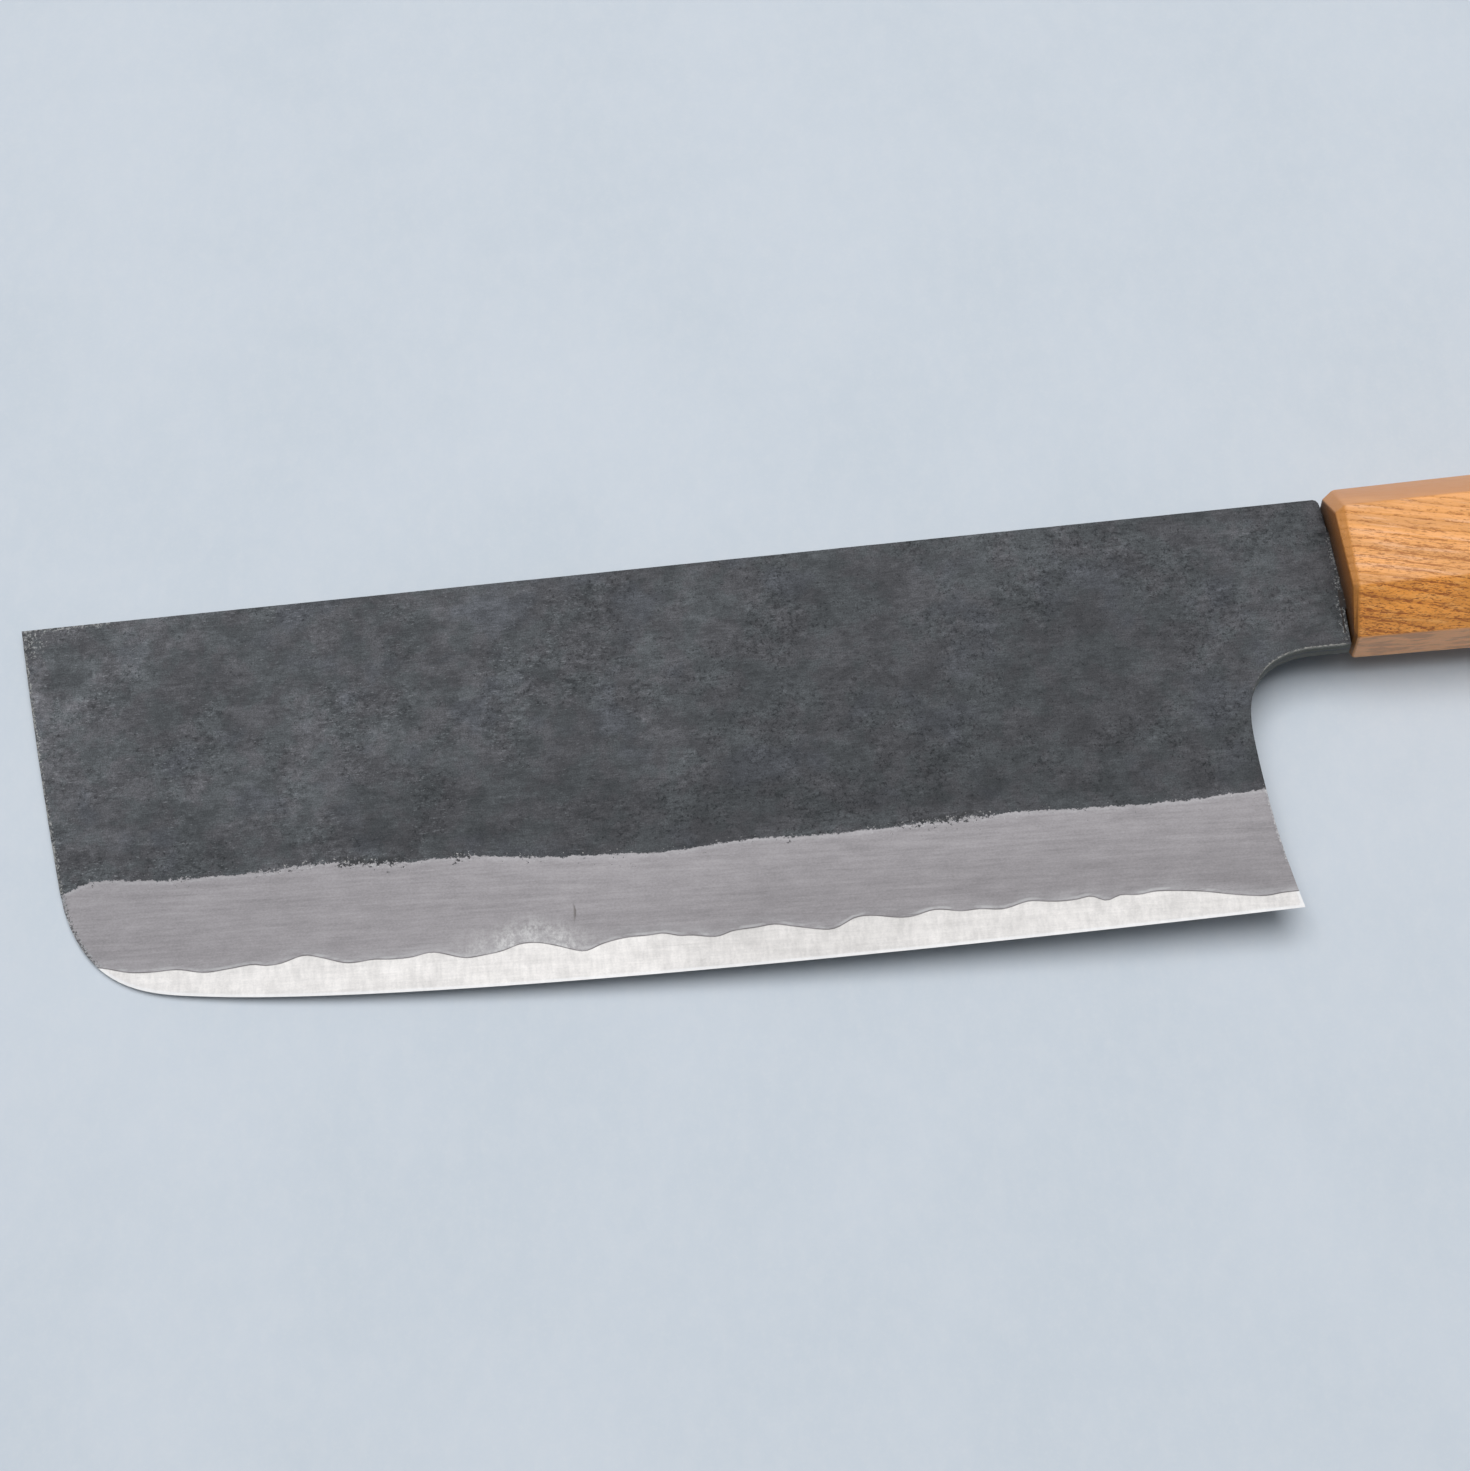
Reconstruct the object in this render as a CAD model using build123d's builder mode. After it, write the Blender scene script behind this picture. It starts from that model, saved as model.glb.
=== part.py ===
from build123d import *
import os

# A nakiri, the square-fronted vegetable knife, in millimetres, lying on its right side.
# +X runs to the butt of the handle, +Y to the spine and +Z up, out of the blade's left side.
# The origin is under the middle of the knife, level with the lowest line of the handle.
# The blade is three layers forge-welded together, a hard core between two soft claddings,
# and all three run on into the tang. The tang is bedded in resin in a one-piece handle.

# Outline of the blade, seen from its left with the spine at the top
blade_length = 168.0  # tip to heel corner
blade_height = 56.8  # spine to the lowest point of the edge
spine_height = 10.4  # spine above the handle's axis
heel_setback = 10.35  # heel corner to the mouth of the handle

front_lean = 6.2  # how far the front draws back from the spine down to its rounded corner
front_bow = 0.23  # swell of the front beyond its chord
corner_run = 19.55  # the rounded lower front corner, measured along the knife
corner_rise = 16.8  # and across it, up from the start of the edge
corner_front_pull = 15.4  # how far the corner keeps to the line of the front
corner_edge_pull = 7.4  # and to the line of the edge

front_rise = 2.45  # where the edge starts at the corner, above its lowest point
front_belly_reach = 30.0  # control point of the belly, back from that start
front_belly_drop = 3.9
heel_rise = 1.05  # heel corner above the edge's lowest point
heel_belly_reach = 32.0  # control point of the belly, ahead of the heel corner
heel_belly_drop = 0.85

heel_lean = 3.4  # how far the heel leans to the tip from its corner up to the choil
choil_run = 9.75  # the hollow between heel and neck
choil_rise = 11.05
choil_pull = 6.9  # how far the hollow keeps to the line of the heel, and of the neck
choil_lean = 0.3  # drawn forward over that length, so the heel meets it with a slant
neck_height = 21.15  # spine to the underside of the neck
neck_round = 0.8  # eased top corner of the neck at the handle

# Thickness of the blade
spine_at_neck = 3.5
spine_at_tip = 2.0
flat_taper = 0.9  # thickness lost from the spine down to the grind line
grind_height = 16.6  # grind line above the edge's lowest point
honed_height = 0.45  # the steeper strip honed along the very edge
honed_thick = 0.16  # thickness at its top
edge_land = 0.04  # and at the edge itself

# Layers
core_in_tang = 0.6  # thickness of the core where no grinding shows it
core_show = 4.5  # height of the bright core steel above the edge

# Tang
tang_length = 92.0  # neck shoulders to the end of the tang
tang_root = 11.0
tang_end = 6.5
tang_root_thick = 2.6
tang_end_thick = 1.9

# Handle
handle_length = 133.0
mouth_height = 21.6
mouth_width = 18.0
butt_height = 24.4  # the handle grows alike on all sides from the mouth to the butt
slant_height_share = 0.234  # a slanted facet's share of the handle's height
slant_width_share = 0.314  # and of its width
mouth_bevel = 1.1
butt_bevel = 1.4

# Mortise and its filling
mouth_gap = 0.2  # neck shoulders to the mouth of the handle
mortise_fit = 0.3  # resin all round the tang
mortise_round = 0.6
mortise_spare = 4.0  # depth beyond the end of the tang
pad_inset = 0.3  # resin short of the bevel of the mouth, above and below

overrun = 2.0  # how far a cut runs past what it cuts

# The ground band is made by eye and wanders. From ahead of the tip to behind the heel, these
# are the heights of the grind line and of the bright core steel, as shares of their sizes.
grind_line_shares = [1.11, 1.12, 1.13, 1.13, 1.07, 1.0, 0.98, 1.0, 1.0, 1.01, 1.0, 1.01, 1.01]
core_line_shares = [0.7, 0.74, 1.02, 1.0, 1.06, 0.92, 1.05, 0.97, 1.0, 0.98, 0.92, 0.5, 0.45]

# Places that follow from the sizes, on the knife's own plane: x back from the mouth, y up.
tip_x = -heel_setback - blade_length
lowest_y = spine_height - blade_height
highest_y = max(spine_height, butt_height / 2)
middle_x = (tip_x + handle_length) / 2
middle_y = (lowest_y + highest_y) / 2
butt_width = mouth_width + butt_height - mouth_height
knife = Plane(origin=(-middle_x, -middle_y, butt_width / 2))

front_end = (tip_x + front_lean, lowest_y + front_rise + corner_rise)
edge_start = (tip_x + front_lean + corner_run, lowest_y + front_rise)
edge_heel = (-heel_setback, lowest_y + heel_rise)
belly_front = (edge_start[0] + front_belly_reach, edge_start[1] - front_belly_drop)
belly_heel = (edge_heel[0] - heel_belly_reach, edge_heel[1] - heel_belly_drop)
neck_y = spine_height - neck_height
choil_start = (edge_heel[0] - heel_lean, neck_y - choil_rise)
neck_start = (choil_start[0] + choil_run, neck_y)
shoulder_x = -mouth_gap
tang_x = shoulder_x + tang_length

length_slope = (spine_at_neck - spine_at_tip) / 2 / (shoulder_x - tip_x)
height_slope = flat_taper / 2 / (blade_height - grind_height)


def half_flat(x, y):
    """Half the thickness of the forged flats at a point of the knife's plane."""
    return spine_at_neck / 2 + length_slope * (x - shoulder_x) + height_slope * (y - spine_height)


def across(x):
    """The plane that crosses the knife at x, with its own x to the spine and its y upwards."""
    return Plane(knife.from_local_coords((x, 0, 0)), x_dir=(0, 1, 0), z_dir=(1, 0, 0))


# The whole forging, before it is told apart into its layers
with BuildPart() as forging:
    with BuildSketch(knife) as outline:
        with BuildLine():
            front = SagittaArc((tip_x, spine_height), front_end, -front_bow)
            belly = Bezier(edge_start, belly_front, belly_heel, edge_heel)
            corner_front = front @ 1 + (front % 1) * corner_front_pull
            corner_edge = belly @ 0 - (belly % 0) * corner_edge_pull
            Bezier(front @ 1, corner_front, corner_edge, belly @ 0)
            TangentArc(choil_start, edge_heel, tangent=(choil_lean, -choil_pull))
            choil_front = (choil_start[0] - choil_lean, choil_start[1] + choil_pull)
            choil_neck = (neck_start[0] - choil_pull, neck_y)
            Bezier(choil_start, choil_front, choil_neck, neck_start)
            Polyline(neck_start, (shoulder_x, neck_y), (shoulder_x, spine_height), front @ 0)
        make_face()
        shoulders = outline.vertices().group_by(Axis.X)[-1]
        fillet(shoulders.sort_by(Axis.Y)[-1], radius=neck_round)
    extrude(amount=spine_at_neck, both=True)

    # The stations of the grinding, along the edge and carried on past both its ends
    count = len(grind_line_shares) - 3
    start_way, end_way = belly % 0, belly % 1
    ahead = belly @ 0 + start_way * ((tip_x - overrun - edge_start[0]) / start_way.X)
    behind = belly @ 1 + end_way * (overrun / end_way.X)
    stations = [ahead] + [belly @ (i / count) for i in range(count + 1)] + [behind]

    for side in (1, -1):
        # The forged flat, thinner towards the tip and towards the edge
        at_spine = knife.from_local_coords((shoulder_x, spine_height, side * spine_at_neck / 2))
        split(bisect_by=Plane(at_spine, z_dir=(-length_slope, -height_slope, side)), keep=Keep.BOTTOM)

        # The bevel, ground from the grind line down, and the strip honed along the edge
        for point, share in zip(stations, grind_line_shares):
            line_y = lowest_y + grind_height * share
            land = Vector(point.Y, edge_land / 2)
            hone = Vector(point.Y + honed_height, honed_thick / 2)
            ridge = Vector(line_y, half_flat(point.X, line_y))
            low = land - (hone - land).normalized() * overrun
            high = ridge + (ridge - hone).normalized() * overrun
            clear = spine_at_neck + overrun
            with BuildSketch(across(point.X)):
                Polygon(
                    (low.X, side * low.Y),
                    (hone.X, side * hone.Y),
                    (high.X, side * high.Y),
                    (high.X, side * clear),
                    (low.X, side * clear),
                    align=None,
                )
        loft(mode=Mode.SUBTRACT)

    # The tang, a tapering bar behind the neck's shoulders
    with BuildSketch(across(shoulder_x)):
        Rectangle(tang_root, tang_root_thick)
    with BuildSketch(across(tang_x)):
        Rectangle(tang_end, tang_end_thick)
    loft()

# The welds between the layers: half the core's thickness, at each station, is the half
# thickness of the bevel at the height where the bright steel comes out of it.
weld_points = []
for point, line_share, core_share in zip(stations, grind_line_shares, core_line_shares):
    line_y = lowest_y + grind_height * line_share
    climb = (core_show * core_share - honed_height) / (line_y - point.Y - honed_height)
    rise = half_flat(point.X, line_y) - honed_thick / 2
    weld_points.append((point.X, honed_thick / 2 + climb * rise))

above = knife.from_local_coords((0, spine_height + overrun, 0))
through = blade_height + 2 * overrun
with BuildSketch(Plane(above, x_dir=(1, 0, 0), z_dir=(0, -1, 0))) as core_section:
    with BuildLine():
        weld = Spline(*weld_points, (shoulder_x, core_in_tang / 2))
        Line(weld @ 1, (tang_x + overrun, core_in_tang / 2))
        mirror(about=Plane.XZ)
        Line(weld @ 0, ((weld @ 0).X, -(weld @ 0).Y))
        Line((tang_x + overrun, core_in_tang / 2), (tang_x + overrun, -core_in_tang / 2))
    make_face()

with BuildPart() as core_steel:
    add(forging.part)
    extrude(core_section.sketch, amount=through, mode=Mode.INTERSECT)

with BuildPart() as left_cladding:
    add(forging.part)
    extrude(core_section.sketch, amount=through, mode=Mode.SUBTRACT)
    split(bisect_by=knife, keep=Keep.TOP)

with BuildPart() as right_cladding:
    mirror(left_cladding.part, about=knife)

# The mortise follows the tang, a little larger all round and a little deeper
with BuildPart() as mortise:
    for x, height, thick in (
        (0, tang_root, tang_root_thick),
        (tang_x + mortise_spare, tang_end, tang_end_thick),
    ):
        with BuildSketch(across(x)):
            RectangleRounded(height + 2 * mortise_fit, thick + 2 * mortise_fit, mortise_round)
    loft()

# The handle is planed from a square blank to eight facets that spread evenly to the butt
with BuildPart() as handle:
    with BuildSketch(across(0)):
        Rectangle(butt_height + overrun, butt_width + overrun)
    extrude(amount=handle_length)
    side_y, top_z = mouth_height / 2, mouth_width / 2
    slant_y, slant_z = mouth_height * slant_height_share, mouth_width * slant_width_share
    slant_out = Vector(slant_z, slant_y).normalized()
    spread = (butt_height - mouth_height) / 2 / (handle_length - butt_bevel)
    facets = []
    for up in (1, -1):
        facets += [(up * side_y, 0, up, 0), (0, up * top_z, 0, up)]
        for out in (1, -1):
            slant = (up * slant_out.X, out * slant_out.Y)
            facets.append((up * side_y, out * (top_z - slant_z), *slant))
    for y, z, out_y, out_z in facets:
        facet = Plane(knife.from_local_coords((0, y, z)), z_dir=(-spread, out_y, out_z))
        split(bisect_by=facet, keep=Keep.BOTTOM)
    ends = handle.faces().sort_by(Axis.X)
    chamfer(ends[0].edges(), length=mouth_bevel)
    chamfer(ends[-1].edges(), length=butt_bevel)
    add(mortise.part, mode=Mode.SUBTRACT)

# The resin fills the mortise round the tang, and the gap between neck and mouth
with BuildPart() as tang_resin:
    add(mortise.part)
    with BuildSketch(across(shoulder_x)):
        pad_height = mouth_height - 2 * mouth_bevel - 2 * pad_inset
        RectangleRounded(pad_height, tang_root_thick + 2 * mortise_fit, mortise_round)
    extrude(amount=mouth_gap)
    add(forging.part, mode=Mode.SUBTRACT)

os.makedirs("parts", exist_ok=True)

core_steel.part.label = "core_steel"
left_cladding.part.label = "left_cladding"
right_cladding.part.label = "right_cladding"
handle.part.label = "handle"
tang_resin.part.label = "tang_resin"

export_step(core_steel.part, "parts/core_steel.step")
export_step(left_cladding.part, "parts/left_cladding.step")
export_step(right_cladding.part, "parts/right_cladding.step")
export_step(handle.part, "parts/handle.step")
export_step(tang_resin.part, "parts/tang_resin.step")
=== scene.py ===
# %% [markdown]
# # A nakiri knife, dressed for its photograph
#
# A nakiri is a square-fronted vegetable knife. This one is forged: its blade is a layer of hard
# steel between two layers of soft iron, its flats still carry the black scale of the forge, and
# its tang is bedded in a wooden handle with eight facets. The solid model of the knife is the
# fixed frame, and every piece made here takes its place from it.

# %% Load the frame
import bmesh
import bpy
from bisect import bisect_right
from math import atan2, cos, radians, sin, tan
from mathutils import Matrix, Vector, kdtree, noise
from mathutils.geometry import interpolate_bezier


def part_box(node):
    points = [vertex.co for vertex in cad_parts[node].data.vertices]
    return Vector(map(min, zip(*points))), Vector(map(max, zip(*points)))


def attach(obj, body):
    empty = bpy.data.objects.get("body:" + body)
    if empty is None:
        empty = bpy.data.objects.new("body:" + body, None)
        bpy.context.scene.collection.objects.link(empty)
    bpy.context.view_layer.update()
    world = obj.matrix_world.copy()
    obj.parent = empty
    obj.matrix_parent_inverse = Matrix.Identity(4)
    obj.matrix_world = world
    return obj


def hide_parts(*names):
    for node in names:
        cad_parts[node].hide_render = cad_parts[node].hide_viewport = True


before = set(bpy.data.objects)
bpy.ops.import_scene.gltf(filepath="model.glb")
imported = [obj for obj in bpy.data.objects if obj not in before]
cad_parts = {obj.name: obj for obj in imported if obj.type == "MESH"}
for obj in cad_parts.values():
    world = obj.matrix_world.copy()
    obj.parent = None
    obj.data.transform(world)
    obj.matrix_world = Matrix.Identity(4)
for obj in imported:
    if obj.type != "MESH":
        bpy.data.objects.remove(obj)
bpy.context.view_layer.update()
mm = 0.001


def unit(value):
    """A number, kept between nought and one."""
    return min(max(value, 0.0), 1.0)


# %% [markdown]
# ## Places that the frame gives
#
# It is easiest to think of a knife from the mouth of its handle. So all places below are written
# back from the mouth, up from the handle's axis and out of the blade's middle plane, and one
# small function turns them into places of the frame. The overall sizes are read from the frame,
# so that they can't drift away from it.

# %% The knife's own axes
handle_low, handle_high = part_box("handle")
core_low, core_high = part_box("core_steel")
mouth_x = handle_low.x
axis_y = (handle_low.y + handle_high.y) / 2
axis_z = (handle_low.z + handle_high.z) / 2


def place(x, y, z=0.0):
    """A point given from the mouth, the handle's axis and the middle plane, in the frame."""
    return Vector((mouth_x + x, axis_y + y, axis_z + z))


tip_x = core_low.x - mouth_x
spine_y = core_high.y - axis_y
lowest_y = core_low.y - axis_y
handle_length = handle_high.x - handle_low.x
print("tip", round(tip_x / mm, 2), "spine", round(spine_y / mm, 2), "edge", round(lowest_y / mm, 2))

# %% [markdown]
# ## The outline of the blade
#
# The blade's outline is a few gentle curves: a front that leans back a little, a round lower
# corner, an edge with a slight belly, a hollow heel and the choil, which is the curve under the
# neck. Cubic curves with two handles each say all of them, as they do in the solid model.

# %% Sizes of the outline
heel_x = -10.35 * mm
heel_y = lowest_y + 1.05 * mm
front_end = Vector((tip_x + 6.2 * mm, lowest_y + 19.25 * mm))
front_bow = 0.23 * mm
edge_start = Vector((tip_x + 25.75 * mm, lowest_y + 2.45 * mm))
corner_front_pull = 15.4 * mm
corner_edge_pull = 7.4 * mm
belly_front = edge_start + Vector((30 * mm, -3.9 * mm))
belly_heel = Vector((heel_x - 32 * mm, heel_y - 0.85 * mm))
choil_start = Vector((heel_x - 3.4 * mm, spine_y - 32.2 * mm))
neck_start = Vector((choil_start.x + 9.75 * mm, spine_y - 21.15 * mm))
choil_pull = 6.9 * mm
choil_lean = 0.3 * mm
shoulder_x = -0.2 * mm
neck_round = 0.8 * mm
curve_steps = 120


def bezier(*points):
    """Points along a cubic curve, from its two ends and the two handles between them."""
    solid = [point.to_3d() for point in points]
    return [point.to_2d() for point in interpolate_bezier(*solid, curve_steps)]


def bow(start, end, rise):
    """A shallow arc from start to end that rises to the right of its way."""
    way = end - start
    lift = Vector((way.y, -way.x)).normalized() * rise * 4 / 3
    return bezier(start, start + way / 3 + lift, end - way / 3 + lift, end)


# %% Draw the outline
tip = Vector((tip_x, spine_y))
heel = Vector((heel_x, heel_y))
front = bow(tip, front_end, front_bow)
belly = bezier(edge_start, belly_front, belly_heel, heel)
front_way = (front[-1] - front[-2]).normalized()
edge_way = (belly[1] - belly[0]).normalized()
corner_handles = front_end + front_way * corner_front_pull, edge_start - edge_way * corner_edge_pull
corner = bezier(front_end, *corner_handles, edge_start)
heel_chord = choil_start - heel
heel_turn = atan2(-heel_chord.x, heel_chord.y) - atan2(choil_lean, choil_pull)
heel_hollow = heel_chord.length / 2 * tan(heel_turn / 2)
heel_line = bow(heel, choil_start, -heel_hollow)
choil_handles = choil_start + Vector((-choil_lean, choil_pull)), neck_start - Vector((choil_pull, 0))
choil = bezier(choil_start, *choil_handles, neck_start)
neck_under = Vector((shoulder_x, neck_start.y))
neck_top = Vector((shoulder_x, spine_y))
neck_corner = bezier(
    neck_top - Vector((0, neck_round)),
    neck_top - Vector((0, neck_round / 2)),
    neck_top - Vector((neck_round / 2, 0)),
    neck_top - Vector((neck_round, 0)),
)
lower_outline = front + corner[1:] + belly[1:]
print("outline drawn, heel hollow", round(heel_hollow / mm, 2), "mm")

# %% [markdown]
# The neck's end and the mouth of the handle were cut by eye. They lean off square, the same way,
# and the middle of the mouth stands back a little. The lean is strongest at the mouth and fades
# out on both sides of it.

# %% The lean at the mouth
mouth_lean = 0.7 * mm
mouth_hollow = 0.35 * mm
lean_reach = 5 * mm
hollow_reach = 6 * mm
mouth_height, mouth_width = 21.6 * mm, 18 * mm
mouth_bevel = 1.1 * mm
bevel_share = 0.8


def lean(x, y):
    """How far a point near the mouth is carried along the knife by the uneven cut."""
    up = min(max(y / (mouth_height / 2), -1.0), 1.0)
    ahead = (x + lean_reach) / (lean_reach + shoulder_x)
    near = ahead if x < 0 else 1 - bevel_share * x / mouth_bevel
    around = ahead if x < 0 else 1 - x / hollow_reach
    return mouth_hollow * (1 - up * up) * unit(around) - mouth_lean * unit(near) * up


print("the cut at the mouth leans by", round(2 * mouth_lean / mm, 2), "mm from top to bottom")


# %% [markdown]
# ## The lines that the maker's hand has left
#
# Two wandering lines cross the blade. The upper one is the grind line, where the ground bevel
# runs out into the black scale. The lower one is the weld, where the bevel has cut through the
# soft iron and the bright core steel comes out. Both were read off the photograph as a list of
# heights. A smooth curve through such points is a cubic between each pair, with the slope at a
# point taken from its two neighbours. The points are in millimetres from the mouth: those of the
# grind line stand above the lowest point of the blade, those of the weld above the edge.

# %% Grind line, weld line and honed line
grind_points = [
    (-184.6, 18.3), (-171.1, 18.15), (-169.2, 19.0), (-167.2, 19.4), (-165.1, 19.45), (-162.4, 19.0),
    (-154.9, 18.6), (-145.5, 18.5), (-136.1, 18.9), (-126.8, 18.1), (-117.4, 18.0), (-108.2, 17.0),
    (-99, 16.5), (-89.8, 16.1), (-80.6, 16.7), (-71.5, 16.4), (-62.4, 16.5), (-53.2, 16.8),
    (-44.2, 16.9), (-35.2, 16.6), (-26.2, 16.4), (-13.6, 16.8), (-4.6, 16.8),
]
weld_points = [
    (-184.6, 3.2), (-166.6, 3.3), (-162.5, 2.8), (-159.5, 2.95), (-156, 3.4), (-152.5, 3.15),
    (-149.5, 3.65), (-146, 4.3), (-144.3, 4.15), (-142.3, 4.4), (-139.2, 5.4), (-136.8, 5.0),
    (-134, 4.25), (-132.4, 4.2), (-130, 4.5), (-128, 4.4), (-125.2, 4.5), (-122.2, 5.0),
    (-118, 4.0), (-115.5, 4.2), (-113, 4.6), (-110.8, 5.3), (-108.6, 5.35), (-106.2, 4.8),
    (-103, 3.8), (-101.9, 3.8), (-100, 4.5), (-97, 5.05), (-94, 5.1), (-92, 5.2),
    (-90, 4.7), (-88.3, 4.6), (-85.2, 4.15), (-83, 4.7), (-80, 4.87), (-77.6, 5.05),
    (-75, 4.5), (-71, 3.7), (-69.6, 3.85), (-67.2, 4.9), (-65, 4.95), (-62, 4.4),
    (-60, 4.3), (-57.4, 4.85), (-56, 4.8), (-53.6, 4.35), (-51.3, 4.37), (-48.2, 4.05),
    (-45, 4.7), (-42.5, 4.4), (-41, 4.25), (-38.9, 4.25), (-37, 4.45), (-35.1, 3.7),
    (-33.3, 4.2), (-31, 4.0), (-28.8, 4.18), (-26.2, 3.95), (-23, 3.5), (-19.6, 2.75),
    (-17, 2.25), (-14.9, 2.0), (-12.8, 2.15), (-4.6, 2.05),
]
honed_height = 0.45 * mm


def smooth_line(points):
    """A smooth curve through points given in mm, as a function from x to height."""
    xs = [x * mm for x, height in points]
    ys = [height * mm for x, height in points]
    slopes = [0.0] * len(points)
    for i in range(1, len(points) - 1):
        slopes[i] = (ys[i + 1] - ys[i - 1]) / (xs[i + 1] - xs[i - 1])

    def height(x):
        i = min(max(bisect_right(xs, x) - 1, 0), len(xs) - 2)
        wide = xs[i + 1] - xs[i]
        t = unit((x - xs[i]) / wide)
        ease = t * t * (3 - 2 * t)
        swing = slopes[i] * t * (1 - t) ** 2 - slopes[i + 1] * t * t * (1 - t)
        return ys[i] + (ys[i + 1] - ys[i]) * ease + swing * wide

    return height


def edge_y(x):
    """The height of the cutting edge, carried straight on ahead of the round corner."""
    if x < edge_start.x:
        return edge_start.y + (x - edge_start.x) * edge_way.y / edge_way.x
    i = min(max(bisect_right(belly, x, key=lambda point: point.x) - 1, 0), len(belly) - 2)
    a, b = belly[i], belly[i + 1]
    return a.y + (b.y - a.y) * (x - a.x) / (b.x - a.x)


grind_height = smooth_line(grind_points)
weld_height = smooth_line(weld_points)


def grind_y(x):
    return lowest_y + grind_height(x)


def weld_y(x):
    return edge_y(x) + weld_height(x)


def honed_y(x):
    return edge_y(x) + honed_height


mid_blade = -90 * mm
print("weld line at mid blade", round(weld_height(mid_blade) / mm, 2), "mm above the edge")

# %% [markdown]
# ## How thick the blade is
#
# The forged flats lose thickness to the tip and to the edge. Below the grind line the bevel runs
# down to the edge, and the last half millimetre is honed steeper. The weld between core and
# cladding is a surface inside the blade: it comes out of the bevel at the weld line, so half the
# core's thickness at any place along the knife is half the bevel's thickness at that height.

# %% Thickness of the blade and of its core
spine_at_neck = 3.5 * mm
spine_at_tip = 2.0 * mm
flat_taper = 0.9 * mm
taper_depth = 40.2 * mm
honed_thick = 0.16 * mm
edge_land = 0.04 * mm
core_in_tang = 0.6 * mm
core_fade = 10 * mm
tang_length = 92 * mm
tang_root, tang_end = 11 * mm, 6.5 * mm
tang_root_thick, tang_end_thick = 2.6 * mm, 1.9 * mm


def half_flat(x, y):
    """Half the thickness of the forged flats."""
    length_slope = (spine_at_neck - spine_at_tip) / 2 / (shoulder_x - tip_x)
    height_slope = flat_taper / 2 / taper_depth
    return spine_at_neck / 2 + length_slope * (x - shoulder_x) + height_slope * (y - spine_y)


def half_blade(x, y):
    """Half the thickness of the blade at any height: flat, ground bevel or honed edge."""
    line = grind_y(x)
    if y >= line:
        return half_flat(x, y)
    up = y - edge_y(x)
    if up < honed_height:
        return (edge_land + (honed_thick - edge_land) * max(up, 0.0) / honed_height) / 2
    share = (up - honed_height) / (line - edge_y(x) - honed_height)
    return honed_thick / 2 + share * (half_flat(x, line) - honed_thick / 2)


def half_tang(x):
    """Half the thickness of the tang, which starts behind the neck's shoulders."""
    return (tang_root_thick + (tang_end_thick - tang_root_thick) * (x - shoulder_x) / tang_length) / 2


def half_core(x):
    """Half the thickness of the core steel, whose surface is the weld."""
    if x >= shoulder_x:
        return core_in_tang / 2
    bevel = half_blade(x, weld_y(x))
    return bevel + (core_in_tang / 2 - bevel) * unit((x - shoulder_x + core_fade) / core_fade)


print("core thickness at mid blade", round(2 * half_core(mid_blade) / mm, 3), "mm")

# %% [markdown]
# ## The blade as one sheet of even cells
#
# A forged blade is a plate, so its mesh is a sheet that is given a thickness. The sheet could be
# cut from a rectangle, but then its rim would be ragged. Instead, plain grids are stretched
# between four lines each, so that the rows of cells follow the edge, the weld and the grind line,
# and the rim is clean. A point inside a grid is the blend of the four lines across it.

# %% Lines as functions, cuts and the stretched grid
level_steps = 400


def along(points):
    """A chain of points as a function: a share of its length gives the point there."""
    reach = [0.0]
    for a, b in zip(points, points[1:]):
        reach.append(reach[-1] + (b - a).length)

    def point_at(share):
        way = share * reach[-1]
        i = min(max(bisect_right(reach, way) - 1, 0), len(points) - 2)
        step = reach[i + 1] - reach[i]
        return points[i].lerp(points[i + 1], (way - reach[i]) / step if step else 0.0)

    return point_at


def cut(points, line):
    """Cuts a chain where it crosses a line: the stretch before the crossing and the one after."""
    first = points[0].y > line(points[0].x)
    for i in range(1, len(points)):
        if (points[i].y > line(points[i].x)) != first:
            a, b = points[i - 1], points[i]
            above_a, above_b = a.y - line(a.x), b.y - line(b.x)
            crossing = a.lerp(b, above_a / (above_a - above_b))
            return points[:i] + [crossing], [crossing] + points[i:]
    raise ValueError("the line doesn't cross this chain")


def level(line, start, end):
    """Points along a line of the blade, from one crossing to another."""
    xs = [start.x + (end.x - start.x) * i / level_steps for i in range(level_steps + 1)]
    return [Vector((x, line(x))) for x in xs]


def patch(bm, columns, rows, bottom, top, left, right):
    """A grid stretched between four chains: bottom and top run back, left and right run up."""
    grid = bmesh.ops.create_grid(bm, x_segments=columns, y_segments=rows, size=0.5)
    bottom_at, top_at, left_at, right_at = along(bottom), along(top), along(left), along(right)
    for vert in grid["verts"]:
        u, v = vert.co.x + 0.5, vert.co.y + 0.5
        across = bottom_at(u) * (1 - v) + top_at(u) * v + left_at(v) * (1 - u) + right_at(v) * u
        low = bottom_at(0) * (1 - u) + bottom_at(1) * u
        high = top_at(0) * (1 - u) + top_at(1) * u
        flat = across - (low * (1 - v) + high * v)
        vert.co = place(flat.x, flat.y)


print("a point half way up the front is", [round(part / mm, 2) for part in along(front)(0.5)])

# %% Cut the outline and lay out the patches
columns = 224
ridge_top = Vector((choil_start.x - 20 * mm, spine_y))

front_high, chain = cut(lower_outline, lambda x: choil_start.y)
front_low, chain = cut(chain, grind_y)
band_front, chain = cut(chain, weld_y)
strip_front, edge_line = cut(chain, honed_y)
honed_heel, chain = cut(heel_line, honed_y)
strip_heel, chain = cut(chain, weld_y)
band_heel, flat_heel = cut(chain, grind_y)

honed_top = level(honed_y, edge_line[0], honed_heel[-1])
weld_line = level(weld_y, strip_front[0], strip_heel[-1])
grind_line = level(grind_y, band_front[0], band_heel[-1])
choil_line = [front_high[-1], choil_start]

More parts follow.
